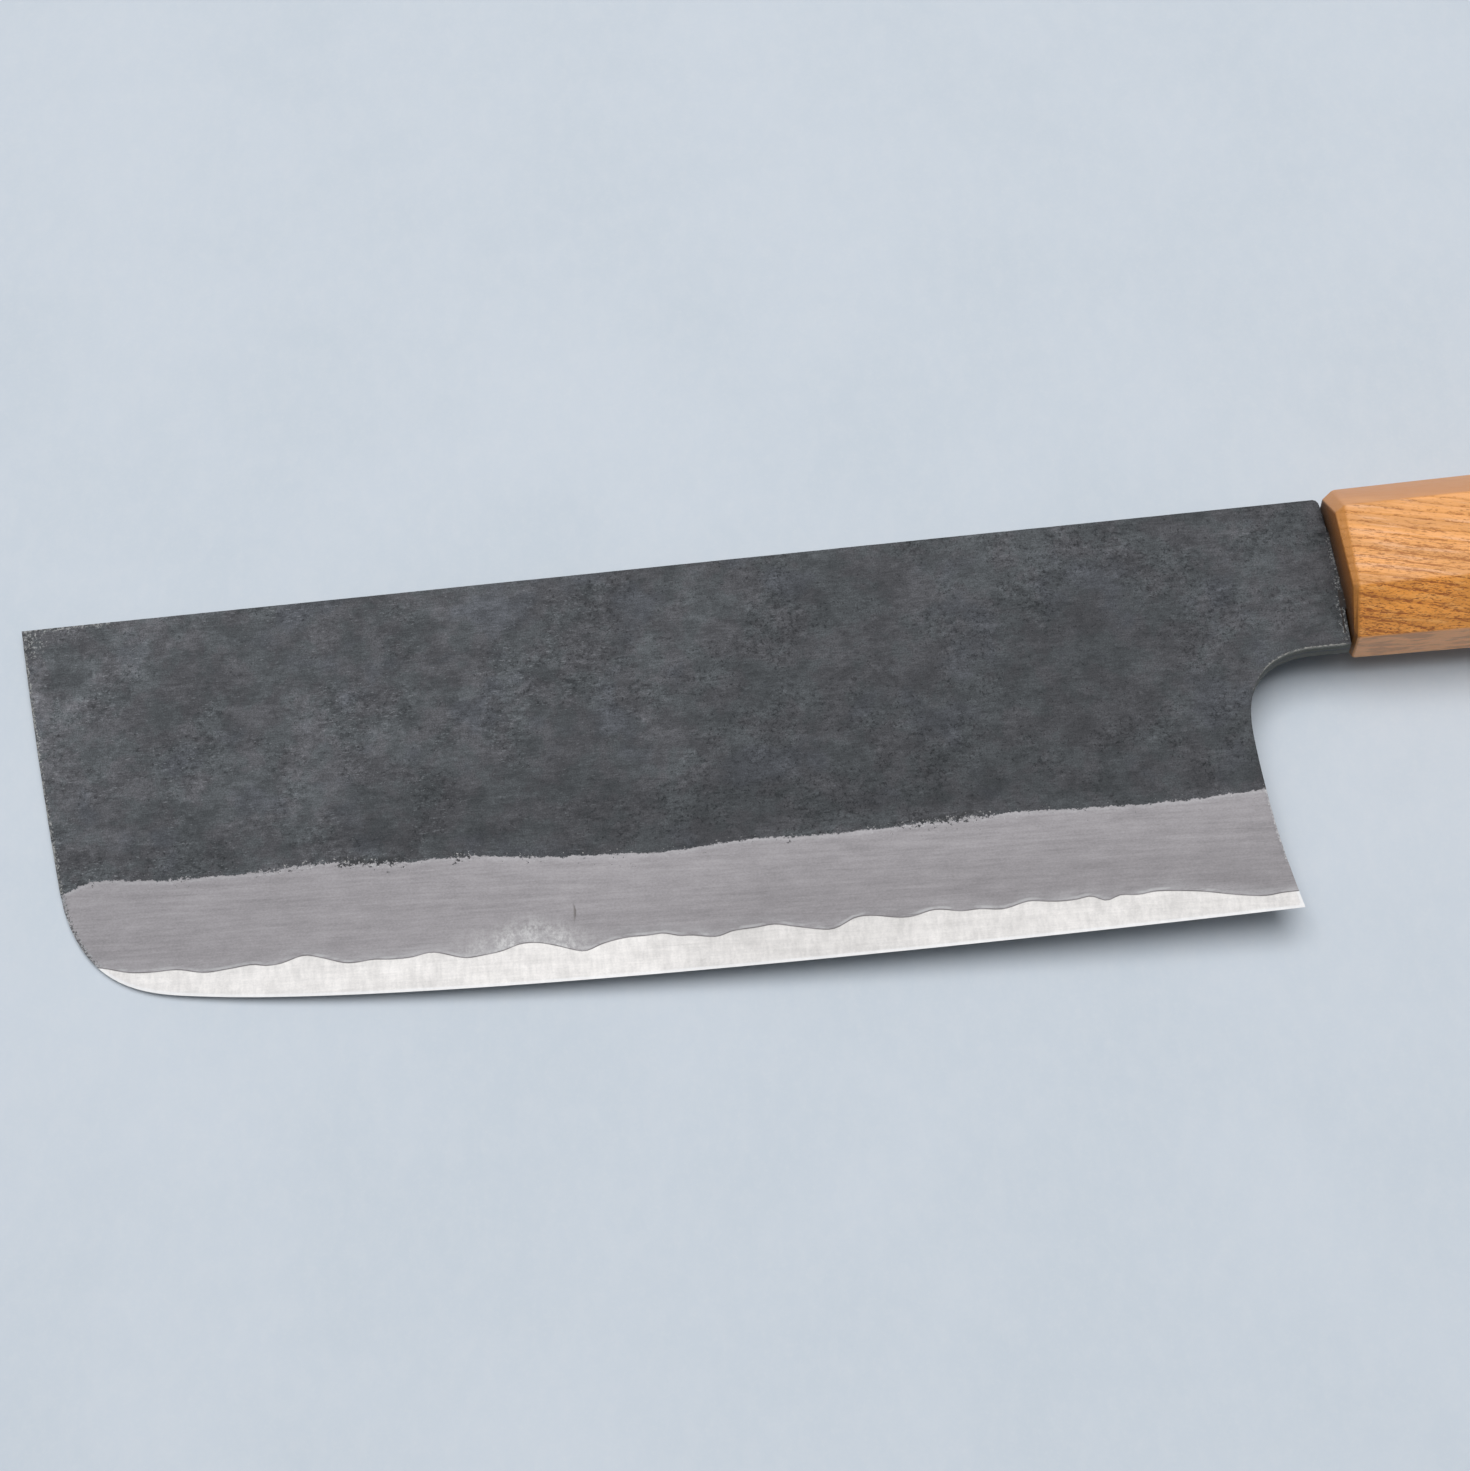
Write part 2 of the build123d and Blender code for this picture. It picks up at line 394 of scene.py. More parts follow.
honed_patch = (columns, 1, edge_line, honed_top, [edge_line[0]] * 2, honed_heel)
strip_patch = (columns, 6, honed_top, weld_line, strip_front[::-1], strip_heel)
band_patch = (columns, 17, weld_line, grind_line, band_front[::-1], band_heel)
low_patch = (columns, 10, grind_line, choil_line, front_low[::-1], flat_heel)
high_patch = (columns, 44, choil_line, [tip, ridge_top], front_high[::-1], [choil_start, ridge_top])
neck_sides = ([choil_start, ridge_top], [neck_under] + neck_corner)
neck_patch = (30, 44, choil + [neck_under], [ridge_top, neck_corner[-1]], *neck_sides)
print("six patches,", columns, "columns of", round((heel_x - tip_x) / columns / mm, 2), "mm")

# %% [markdown]
# ## From the sheet to the three layers
#
# Each layer is the sheet, extruded once: the first skin goes to the inner face of the layer, and the new
# one to its outer face. The hammered flats are never quite even, so the outer face gets a shallow relief of
# a few hundredths of a millimetre. Three measures are kept on the vertices for the finishes: the height
# above the grind line, the height above the weld and the distance from the rim. A fourth says how worn the
# eased rim is, held lower as painted shade on the side that faces the table.

# %% Relief of the forged flats
def relief(spot, side):
    """Hammer work on the forged flats: long swells and smaller dents, different on each side."""
    away = Vector((0, 0, 40.0 * side))
    swell = noise.noise(spot / (17 * mm) + away) * 0.045 * mm
    dents = noise.noise(spot / (5.5 * mm) + away * 2) * 0.016 * mm
    return swell + dents


rim = lower_outline + heel_line[1:] + choil[1:] + [neck_under] + neck_corner + [tip]
rim_at = along(rim)
rim_marks = 4000
rim_tree = kdtree.KDTree(rim_marks)
for i in range(rim_marks):
    spot = rim_at(i / rim_marks)
    rim_tree.insert(place(spot.x, spot.y), i)
rim_tree.balance()
print("rim marked at", rim_marks, "points")

# %% The sheet, with its tang and its measures
merge_distance = 0.002 * mm
root_step = 0.3 * mm


def only(kind, items):
    return [item for item in items if isinstance(item, kind)]


def sheet(patches):
    """The patches welded into one sheet, with the tang drawn out of the neck's front."""
    bm = bmesh.new()
    for stretch in patches:
        patch(bm, *stretch)
    bmesh.ops.remove_doubles(bm, verts=bm.verts, dist=merge_distance)
    root_x = place(shoulder_x, 0).x
    root = []
    for edge in bm.edges:
        at_front = all(abs(vert.co.x - root_x) < merge_distance for vert in edge.verts)
        in_root = all(abs(vert.co.y - axis_y) < tang_root / 2 for vert in edge.verts)
        if at_front and in_root:
            root.append(edge)
    for step, height in ((root_step, tang_root), (tang_length - root_step, tang_end)):
        drawn = bmesh.ops.extrude_edge_only(bm, edges=root)["geom"]
        root = only(bmesh.types.BMEdge, drawn)
        verts = only(bmesh.types.BMVert, drawn)
        tall = max(vert.co.y for vert in verts) - min(vert.co.y for vert in verts)
        centre = Matrix.Translation((0, -axis_y, 0))
        bmesh.ops.scale(bm, vec=(1, height / tall, 1), space=centre, verts=verts)
        bmesh.ops.translate(bm, vec=(step, 0, 0), verts=verts)
    return bm


def mark(bm):
    """Keeps the three measures of each vertex, in millimetres, and room for the rim's wear and its painted
    shade.
    """
    names = ("above_grind", "above_weld", "from_rim", "worn")
    grind, weld, inside, worn = [bm.verts.layers.float.new(name) for name in names]
    for vert in bm.verts:
        x, y = vert.co.x - mouth_x, vert.co.y - axis_y
        vert[grind] = (y - grind_y(x)) / mm
        vert[weld] = (y - weld_y(x)) / mm
        vert[inside] = rim_tree.find(Vector((vert.co.x, vert.co.y, axis_z)))[2] / mm
        vert[worn] = 0.0


# %% [markdown]
# Nobody leaves the rim of such a blade sharp at the spine, the choil and the heel. A file and years of use
# round it, and it shines where fingers rub it: most in the choil, less at the heel and the front, and not
# at the spine, which is still black. On the side that faces the table the shine is held lower, as painted
# shade. So the edges between the flats and a high enough wall are beveled, and noise chips the rounding by
# some hundredths of a millimetre.

# %% The eased rim
rim_wear = 0.09 * mm
least_wall = 0.35 * mm
worn_off = 0.01 * mm
chip_depth = 0.03 * mm
# The last of these is the rim's shine on the side that faces the table, held lower as painted shade.
front_shine, heel_shine, choil_shine, under_shine_in_shade = 0.55, 0.66, 0.75, 0.5


def rounded(bm, edges, width, segments):
    """Rounds edges by a width. Gives the new vertices."""
    return bmesh.ops.bevel(
        bm, geom=edges, affect="EDGES", offset=width, offset_type="OFFSET",
        segments=segments, profile=0.5, material=-1, clamp_overlap=True,
    )["verts"]


def shine_and_shade_of_rim(x, y, upper):
    """How bright the eased rim is worn: heel and choil most, the front less, the spine not. On the side
    that faces the table it is held lower, as painted shade.
    """
    if y > spine_y - 1.5 * mm or x > shoulder_x - 0.4 * mm:
        return 0.0
    if x < heel_x - 60 * mm:
        return front_shine
    # Where upper is false, the rim faces the table and its shine is held lower as painted shade.
    if y < grind_y(x) + 0.6 * mm:
        return heel_shine if upper else under_shine_in_shade
    in_choil = unit((y - choil_start.y) / (6 * mm) - 0.7)
    return 0.2 + (choil_shine - 0.2) * in_choil if upper else under_shine_in_shade / 2


def ease_rim(bm):
    """Rounds the rim where the wall under it is high enough, as a file and use do."""
    edges = []
    root_x = place(shoulder_x, 0).x
    for edge in bm.edges:
        if len(edge.link_faces) != 2 or max(vert.co.x for vert in edge.verts) > root_x + merge_distance:
            continue
        slants = sorted(abs(face.normal.z) for face in edge.link_faces)
        wall = min(edge.link_faces, key=lambda face: abs(face.normal.z))
        high = max(vert.co.z for vert in wall.verts) - min(vert.co.z for vert in wall.verts)
        outer = abs(edge.verts[0].co.z - axis_z) > abs(wall.calc_center_median().z - axis_z)
        if slants[0] < 0.3 and slants[1] > 0.9 and high > least_wall and outer:
            edges.append(edge)
    worn = bm.verts.layers.float["worn"]
    for vert in rounded(bm, edges, rim_wear, 2):
        vert[worn] = shine_and_shade_of_rim(vert.co.x - mouth_x, vert.co.y - axis_y, vert.co.z > axis_z)
        chip = noise.noise(vert.co / (0.9 * mm)) * chip_depth
        vert.co -= vert.normal * (worn_off + max(chip, 0.0))


# %% Build a layer of the blade
def finish_mesh(bm, name, crease=28):
    """Writes a bmesh to a new object: smooth faces, and sharp edges where it turns."""
    for face in bm.faces:
        face.smooth = True
    for edge in bm.edges:
        if len(edge.link_faces) == 2:
            edge.smooth = edge.calc_face_angle() < radians(crease)
    mesh = bpy.data.meshes.new(name)
    bm.to_mesh(mesh)
    bm.free()
    piece = bpy.data.objects.new(name, mesh)
    bpy.context.scene.collection.objects.link(piece)
    return piece


def layer(name, patches, outer, inner, wear):
    """A closed layer of the blade between two heights over the middle plane."""
    bm = sheet(patches)
    mark(bm)
    first = list(bm.verts)
    raised = bmesh.ops.extrude_face_region(bm, geom=list(bm.faces))["geom"]
    high = only(bmesh.types.BMVert, raised)
    for verts, surface in ((first, inner), (high, outer)):
        for vert in verts:
            vert.co.z = axis_z + surface(vert.co.x - mouth_x, vert.co.y - axis_y)
    bmesh.ops.remove_doubles(bm, verts=bm.verts, dist=merge_distance)
    bmesh.ops.recalc_face_normals(bm, faces=bm.faces)
    if wear:
        ease_rim(bm)
    for vert in bm.verts:
        vert.co.x += lean(vert.co.x - mouth_x, vert.co.y - axis_y)
    return finish_mesh(bm, name)


# %% Make the core and the two claddings
relief_fade = 1.5 * mm


def flat_relief(x, y, side):
    """Relief that fades out at the grind line, because the bevel is ground true."""
    return relief(Vector((x, y, 0)), side) * unit((y - grind_y(x)) / relief_fade)


def outer_skin(side):
    """The outer face of the cladding on one side, 1 for left and -1 for right."""
    def height(x, y):
        if x > shoulder_x + merge_distance:
            return side * half_tang(x)
        return side * (max(half_blade(x, y), half_core(x)) + flat_relief(x, y, side))
    return height


def core_skin(side):
    """A face of the core steel: the weld, or the bevel where that has cut the core."""
    def height(x, y):
        if x > shoulder_x:
            return side * core_in_tang / 2
        return side * min(half_blade(x, y), half_core(x))
    return height


upper_patches = (band_patch, low_patch, high_patch, neck_patch)
all_patches = (honed_patch, strip_patch) + upper_patches
core = layer("blade_core_steel", all_patches, core_skin(1), core_skin(-1), wear=False)
left = layer("left_soft_cladding", upper_patches, outer_skin(1), core_skin(1), wear=True)
right = layer("right_soft_cladding", upper_patches, outer_skin(-1), core_skin(-1), wear=True)
for piece, node, slot in (
    (core, "core_steel", "core_steel"),
    (left, "left_cladding", "cladding_iron"),
    (right, "right_cladding", "cladding_iron"),
):
    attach(piece, "root")
    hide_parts(node)
    print(piece.name, len(piece.data.polygons), "faces")

# %% [markdown]
# ## The handle
#
# The handle is one piece of open-pored wood, planed to eight facets that spread a little to the
# butt. Its mesh is a chain of eight-cornered rings joined by bridges, which keeps the facets
# flat. The long edges are then rounded by a fraction of a millimetre, as sandpaper leaves them.

# %% Sizes of the handle
butt_height = handle_high.y - handle_low.y
slant_height_share, slant_width_share = 0.234, 0.314
butt_bevel = 1.4 * mm
mortise_fit = 0.3 * mm
mortise_clip = 0.6 * mm
mortise_depth = tang_length + shoulder_x + 4 * mm
facet_round = 0.28 * mm
spread = (butt_height - mouth_height) / 2 / (handle_length - butt_bevel)


def eight_corners(x, quarter):
    """The corners of a section, from the two in its upper left quarter."""
    half = quarter + [(-y, z) for y, z in reversed(quarter)]
    return [place(x + lean(x, y), y, z) for y, z in half + [(-y, -z) for y, z in half]]


def octagon(x, inset):
    """The eight corners of the handle's section, moved inwards by an inset."""
    grow = spread * x - inset
    side_y, top_z = mouth_height / 2, mouth_width / 2
    slant_y, slant_z = mouth_height * slant_height_share, mouth_width * slant_width_share
    slant_out = Vector((slant_z, slant_y)).normalized()
    turn_y = (1 - slant_out.x) / slant_out.y
    turn_z = (1 - slant_out.y) / slant_out.x
    high_y, high_z = side_y + grow, top_z - slant_z + grow * turn_y
    low_y, low_z = side_y - slant_y + grow * turn_z, top_z + grow
    return eight_corners(x, [(high_y, high_z), (low_y, low_z)])


def mortise_ring(x, height, thick):
    """The eight corners of the mortise's section, with clipped corners."""
    y, z = height / 2 + mortise_fit, thick / 2 + mortise_fit
    return eight_corners(x, [(y, z - mortise_clip), (y - mortise_clip, z)])


print("the handle spreads by", round(2 * spread * handle_length / mm, 2), "mm to the butt")


# %% Build the handle
facet_steps = 44
least_turn = 20


def build_handle():
    """Rings from the bottom of the mortise out to the mouth and back to the butt."""
    bm = bmesh.new()
    rings = [
        mortise_ring(mortise_depth, tang_end, tang_end_thick),
        mortise_ring(0, tang_root, tang_root_thick),
        octagon(0, mouth_bevel),
        octagon(mouth_bevel, 0),
    ]
    reach = handle_length - butt_bevel - mouth_bevel
    rings += [octagon(mouth_bevel + reach * i / facet_steps, 0) for i in range(1, facet_steps + 1)]
    rings += [octagon(handle_length, butt_bevel)]
    loops = []
    for ring in rings:
        verts = [bm.verts.new(corner) for corner in ring]
        loops.append([bm.edges.new((verts[i], verts[(i + 1) % 8])) for i in range(8)])
    for a, b in zip(loops, loops[1:]):
        bmesh.ops.bridge_loops(bm, edges=a + b)
    for end in (loops[0], loops[-1]):
        bmesh.ops.contextual_create(bm, geom=end)
    bmesh.ops.recalc_face_normals(bm, faces=bm.faces)
    creases = []
    for edge in bm.edges:
        out = edge.verts[0].co - place(0, 0)
        outside = abs(out.z) > 5 * mm or abs(out.y) > 8 * mm
        if outside and edge.calc_face_angle() > radians(least_turn):
            creases.append(edge)
    rounded(bm, creases, facet_round, 3)
    return finish_mesh(bm, "wooden_handle", crease=35)


handle = build_handle()
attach(handle, "root")
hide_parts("handle")
print("handle", len(handle.data.polygons), "faces")

# %% [markdown]
# ## Wires for the finishes
#
# Every finish below is a small wiring of shader nodes. A wire is one value on its way from node
# to node. To add, multiply, map or mix it adds the node that does so and gives the wire that
# comes out of it, so a recipe reads like a formula. Numbers may stand in a recipe wherever the
# second wire of a sum may.

# %% The wire
class Wire:
    """A value in a node tree. What is worked out from it adds the nodes for that."""

    def __init__(self, wires, socket):
        self.wires = wires
        self.socket = socket

    def __add__(self, other):
        return self.wires.work("ADD", self, other)

    def __sub__(self, other):
        return self.wires.work("SUBTRACT", self, other)

    def __rsub__(self, other):
        return self.wires.work("SUBTRACT", other, self)

    def __mul__(self, other):
        return self.wires.work("MULTIPLY", self, other)

    def __abs__(self):
        return self.wires.work("ABSOLUTE", self)

    def between(self, low, high, to_low=0.0, to_high=1.0):
        """Maps the value from one range to another, clamped and eased at both ends."""
        inputs = {"Value": self, "From Min": low, "From Max": high, "To Min": to_low, "To Max": to_high}
        return self.wires.add("ShaderNodeMapRange", inputs, interpolation_type="SMOOTHSTEP")["Result"]

    def fade(self, share):
        """One where this value is nought, and a share of that where it is one."""
        return self.between(0, 1, 1, share)

    def window(self, start, full, fading, end):
        """One between two places, nothing outside of them, with a soft step at each end."""
        return self.between(start, full) * self.between(end, fading)

    def slide(self, a, b):
        """The number a where this value is nought, and b where it is one."""
        return self.wires.add("ShaderNodeMix", {0: self, 2: a, 3: b})[0]

    def blend(self, a, b):
        """The colour a where this value is nought, and b where it is one."""
        return self.wires.add("ShaderNodeMix", {0: self, 6: a, 7: b}, data_type="RGBA")[2]

    def toward(self, tone, share, mode="MIX"):
        """This colour, brought nearer to another tone by a share."""
        inputs = {0: share, 6: self, 7: tone}
        return self.wires.add("ShaderNodeMix", inputs, data_type="RGBA", blend_type=mode)[2]

    def coated(self, *coats):
        """This colour under thin coats, from the first to the last: each a tone and a share."""
        tone = self
        for coat, share in coats:
            tone = tone.toward(coat, share)
        return tone

    def parts(self):
        """The three numbers of a vector."""
        found = self.wires.add("ShaderNodeSeparateXYZ", {0: self})
        return [found[i] for i in range(3)]

    def length(self):
        return self.wires.add("ShaderNodeVectorMath", {0: self}, operation="LENGTH")["Value"]

    def turned(self, *degrees):
        """A vector turned about the three axes."""
        turn = [radians(angle) for angle in degrees]
        return self.wires.add("ShaderNodeMapping", {"Vector": self, "Rotation": turn})[0]

    def bump(self, distance, strength=1.0):
        """The value as a fine relief of the surface."""
        inputs = {"Height": self, "Distance": distance, "Strength": strength}
        return self.wires.add("ShaderNodeBump", inputs)["Normal"]


def greatest(first, *others):
    for other in others:
        first = first.wires.work("MAXIMUM", first, other)
    return first


def texture(where, scale=1.0, detail=2.0, roughness=0.5):
    """Cloudy noise between nought and one, about half on average."""
    inputs = {"Vector": where, "Scale": scale, "Detail": detail, "Roughness": roughness}
    return where.wires.add("ShaderNodeTexNoise", inputs)[0]


def shaded(tone, shade):
    """A colour made darker or lighter by a factor. At least one of the two is a wire."""
    wires = (shade if isinstance(shade, Wire) else tone).wires
    return wires.add("ShaderNodeVectorMath", {0: tone, "Scale": shade}, operation="SCALE")[0]


def in_mm(point):
    """A point of the frame in millimetres, for the wires that count in them."""
    return [part / mm for part in point]


# %% The tree that wires run in
class Wiring:
    """Adds nodes to one node tree, and fills or links what goes into them."""

    def __init__(self, tree):
        self.tree = tree

    def feed(self, sockets, values):
        for name, value in values.items():
            if isinstance(value, Wire):
                self.tree.links.new(value.socket, sockets[name])
            elif sockets[name].type == "RGBA":
                sockets[name].default_value = (*value, 1.0)
            else:
                sockets[name].default_value = value

    def add(self, kind, inputs=None, **settings):
        """Adds a node. Gives the wires that come out of it, by their number and by their name."""
        node = self.tree.nodes.new(kind)
        for name, value in settings.items():
            setattr(node, name, value)
        self.feed(node.inputs, inputs or {})
        return {key: Wire(self, out) for i, out in enumerate(node.outputs) for key in (i, out.name)}

    def work(self, operation, first, second=0.0):
        """A sum of two numbers, or of two vectors if one of them is a vector."""
        kind = "ShaderNodeMath"
        for value in (first, second):
            is_vector = isinstance(value, (tuple, list))
            if isinstance(value, Wire):
                is_vector = value.socket.type == "VECTOR"
            if is_vector:
                kind = "ShaderNodeVectorMath"
        return self.add(kind, {0: first, 1: second}, operation=operation)[0]

    def millimetres(self, stretch=(1, 1, 1)):
        """Object coordinates in millimetres, stretched or squeezed per axis."""
        return self.add("ShaderNodeTexCoord")["Object"] * in_mm(stretch)

    def facing(self):
        """The three parts of the direction that the surface faces."""
        return self.add("ShaderNodeNewGeometry")["True Normal"].parts()

    def measures(self, *names):
        """Measures that are kept on the vertices of the mesh."""
        return [self.add("ShaderNodeAttribute", attribute_name=name)["Fac"] for name in names]


def new_group(name, inputs, outputs):
    """A node group. Gives its wiring, the wires that come in and the sockets that lead out."""
    tree = bpy.data.node_groups.new(name, "ShaderNodeTree")
    kinds = {"Position": "NodeSocketVector", "Colour": "NodeSocketColor"}
    for way, labels in (("INPUT", inputs), ("OUTPUT", outputs)):
        for label in labels:
            kind = kinds.get(label, "NodeSocketFloat")
            tree.interface.new_socket(label, in_out=way, socket_type=kind)
    wires = Wiring(tree)
    return wires, wires.add("NodeGroupInput"), tree.nodes.new("NodeGroupOutput").inputs


def new_material(name):
    """A material with one Principled shader. Gives it, its wiring and the shader's sockets."""
    material = bpy.data.materials.new(name)
    material.use_nodes = True
    return material, Wiring(material.node_tree), material.node_tree.nodes["Principled BSDF"].inputs


print("wires can", ", ".join(name for name in vars(Wire) if not name.startswith("_")))

# %% [markdown]
# ## Black forge scale
#
# The skin that the forge leaves is a dark grey oxide. It is never one grey: it drifts between
# warm, bluish and greenish in patches as wide as a fingertip, is mottled at a millimetre or two,
# carries fine streaks along the blade where it was wiped, and has small dark pits and a few pale
# flecks. It is rougher in some places than in others, and calmer on the rear half. Both claddings
# and the walls of the core wear it, so it is a group.

# %% The group for forge scale
def make_forge_scale():
    wires, inputs, outputs = new_group("Forge scale", ["Position"], ["Colour", "Roughness", "Height"])
    spot = inputs["Position"]
    warm, green = (0.0735, 0.0725, 0.0775), (0.0695, 0.074, 0.078)
    blue, pale = (0.0695, 0.0725, 0.0805), (0.24, 0.25, 0.26)
    tint = texture(spot, 0.2, 4, 0.65).between(0.43, 0.57).blend(warm, green)
    tint = tint.toward(blue, texture(spot + (31, 7, 3), 0.11, 3, 0.55).between(0.54, 0.68))

    rear = spot.parts()[0].between(-90, -55)
    rough = texture(spot + (12, 5, 6), 0.12, 4, 0.62).between(0.44, 0.6)
    clouds = texture(spot + (3, 50, 9), 0.05, 3, 0.5)
    blotch = texture(spot * (0.8, 1.1, 1), 0.32, 5, 0.62)
    crust = texture(spot * (0.85, 1.1, 1) + (0, 8, 2), 1.15, 6, 0.74)
    grain = texture(spot, 5.5, 2, 0.7)
    streak = texture(spot * (0.5, 4.2, 1), 1.0, 3, 0.65)
    shade = clouds.between(0.3, 0.7, 0.78, 1.22)
    for pattern, reach, depth in ((blotch, 0.12, 0.2), (grain, 0.25, 0.36), (streak, 0.25, 0.2)):
        shade *= pattern.between(0.5 - reach, 0.5 + reach, 1 - depth, 1 + depth)
    deep_crust = crust.between(0.49, 0.37) * rough.between(0, 1, 0.16, 0.42)
    high_crust = crust.between(0.52, 0.65) * rough.between(0, 1, 0.18, 0.52) * rear.fade(0.72)
    shade = shade * (1.0 - deep_crust) * (high_crust + 1.0)
    pit = texture(spot + (9, 2, 40), 2.2, 3, 0.75) + rough * 0.06 + rear * 0.025
    pit = pit.between(0.65, 0.7)
    shade *= pit.fade(0.45)
    fleck = texture(spot * (0.5, 1.5, 1) + (70, 2, 4), 2.6, 3, 0.72) + rough * 0.05
    fleck = fleck.between(0.645, 0.7) * rear.between(0, 1, 0.42, 0.15)
    wires.feed(outputs, {
        "Colour": shaded(tint, shade).toward(pale, fleck),
        "Roughness": crust.between(0.3, 0.7, 0.6, 0.5),
        "Height": crust * 0.6 + grain * 0.25 - pit * 0.5,
    })
    return wires.tree


forge_scale = make_forge_scale()
print("group", forge_scale.name, len(forge_scale.nodes), "nodes")

# %% [markdown]
# ## Grinding marks
#
# Stones and belts leave long fine lines along the bevel, some brighter and some darker. Noise
# that is squeezed across the blade and stretched along it gives such lines. The soft iron and
# the core steel share this group, each with its own values.

# %% The group for grinding marks
def make_grinding_marks():
    sockets = ["Position", "Lines per mm", "Depth"]
    wires, inputs, outputs = new_group("Grinding marks", sockets, ["Shade", "Height"])
    spot = inputs["Position"]
    slanted = spot.turned(0, 0, 4)
    lines = wires.add("ShaderNodeCombineXYZ", {0: 0.1, 1: inputs["Lines per mm"], 2: 1.0})[0]
    fine = texture(spot * lines, 1.0, 3, 0.6)
    crossing = texture(slanted * (0.06, 1.6, 1), 1.0, 3, 0.65)
    haze = texture(spot * (0.5, 1, 1), 0.45, 5, 0.65)
    grain = texture(spot * (0.7, 1, 1), 4.5, 2, 0.7)
    scratch = texture(slanted * (0.05, 3.4, 1) + (5, 9, 2), 1.0, 2, 0.6)
    total = scratch.between(0.66, 0.74) * -0.1
    for pattern, share in ((fine, 0.3), (crossing, 0.3), (haze, 0.42), (grain, 0.4)):
        total += (pattern - 0.5) * share
    wires.feed(outputs, {"Shade": total * (inputs["Depth"] * 10) + 1.0, "Height": fine})
    return wires.tree


grinding_marks = make_grinding_marks()
print("group", grinding_marks.name, len(grinding_marks.nodes), "nodes")

# %% [markdown]
# ## Soft iron: scale above, ground bevel below
#
# One material covers a cladding. The height above the grind line, kept on the mesh, tells scale
# from bevel, and noise of two sizes makes their boundary as ragged and chipped as it is on the
# real blade. It crumbles most in a few stretches, which are given in millimetres from the mouth.

# %% Where the scale ends
crumbly_stretches = (
    (-148, -145, -137, -135, 0.55),
    (-135.5, -134, -126, -124, 1.0),
    (-120, -118.8, -116.5, -115, 0.8),
    (-63, -59, -50, -46, 0.8),
)


def scale_edge(spot, along_blade, above_grind):
    """The height above the ragged end of the scale, and how thick the crumbs lie along it."""
    crowd = texture(spot * (1, 0.2, 1), 0.14, 3, 0.6).between(0.5, 0.62, 0, 0.5)
    for start, full, fading, end, most in crumbly_stretches:
        crowd = greatest(crowd, along_blade.window(start, full, fading, end) * most)
    fine_edge = (texture(spot, 2.0, 5, 0.8) - 0.5) * crowd.between(0, 1, 1.3, 3.0)
    slow_edge = (texture(spot, 0.6, 3, 0.6) - 0.5) * 0.7
    return above_grind + (fine_edge + slow_edge), crowd


def crumbs_and_specks(spot, line, crowd, above_grind):
    """Black crumbs that stand alone on the bevel, and pale specks between them."""
    crumb = texture(spot, 1.5, 4, 0.75) + crowd * line.between(-1.6, 0.3, 0.01, 0.19)
    crumb = crumb.between(0.66, 0.7) * above_grind.window(-2.2, -1.2, 0.5, 1.2)
    near_line = above_grind.window(-0.9, -0.3, 0.4, 1.0) * crowd.between(0, 1, 0.01, 0.105)
    speck = texture(spot + (6, 3, 1), 2.6, 3, 0.72) + near_line
    return crumb, speck.between(0.67, 0.72) * above_grind.window(-1.2, -0.6, 0.6, 1.3)


print(len(crumbly_stretches), "crumbly stretches")

# %% [markdown]
# The bevel is brighter towards its upper edge and towards the front. It is a little whiter just
# above the weld, most of all in one patch before the middle of the blade, which has a small
# curved nick in it. The weld itself is a thin dark line with a pale one above it.

# %% The ground bevel
nick_centre = place(-104.9 * mm, -37.2 * mm)
weld_tone = (0.15, 0.135, 0.13)


def ground_bevel(spot, along_blade, above_grind, above_weld, line, marks):
    """The colour of the soft iron where it is ground."""
    rise = above_grind.between(-11, -0.5, -0.075, 0.085) * along_blade.between(-125, -85, 0.3, 1)
    even = (rise + 1.0) * along_blade.between(-105, -72, 1.03, 0.955)
    cloudy = texture(spot * (0.35, 0.8, 1), 0.8, 4, 0.65).between(0.35, 0.7, 0.15, 1)
    mottle = texture(spot * (1, 0.7, 1), 2.3, 5, 0.75).between(0.4, 0.62, 0.22, 1.0)
    patchy = texture(spot, 0.55, 3, 0.6).between(0.36, 0.58, 0.35, 1.0)
    whitened = along_blade.window(-123, -112, -106, -99) * above_weld.between(4.8, 0.3)
    pale_rim = line.between(-0.75, -0.1) * texture(spot, 2.4, 3, 0.7)
    broken = texture(spot * (0.3, 1, 1), 1.0, 3, 0.6).between(0.42, 0.6)
    rust = texture(spot + (8, 1, 1), 3.4, 3, 0.75).between(0.66, 0.72)
    around = spot - in_mm(nick_centre) + texture(spot, 0.8, 2, 0.6) * (0.5, 0.5, 0)
    around = (around * (1.35, 1, 0)).length()
    nick = around.window(1.75, 2.1, 2.35, 2.7) * along_blade.between(-103.7, -103.2)
    weld_dark = texture(spot * (0.4, 0.4, 1), 1.0, 3, 0.6).between(0.4, 0.6, 0.4, 0.8)
    return shaded((0.335, 0.306, 0.303), marks["Shade"] * even).coated(
        ((0.56, 0.54, 0.53), above_weld.between(2.2, 0.0) * cloudy * 0.3),
        ((0.68, 0.65, 0.62), whitened * mottle * patchy * 0.8),
        ((0.6, 0.57, 0.56), pale_rim * 0.55),
        ((0.62, 0.6, 0.58), above_weld.window(0.1, 0.22, 0.34, 0.6) * broken * 0.4),
        ((0.16, 0.14, 0.13), rust * 0.35),
        ((0.1, 0.085, 0.07), nick * 0.9),
        (weld_tone, above_weld.between(0.16, 0.1) * weld_dark),
    )


print("nick in the bevel at", [round(part, 1) for part in in_mm(nick_centre)], "mm")

# %% [markdown]
# The scale is darker along the heel's half and along a thin belt above the grind line. Four
# large clouds and a swirl near the tip lie where the photograph shows them. A cloud is given by
# where it starts, is full, fades and ends, first along the blade and then above the grind line.

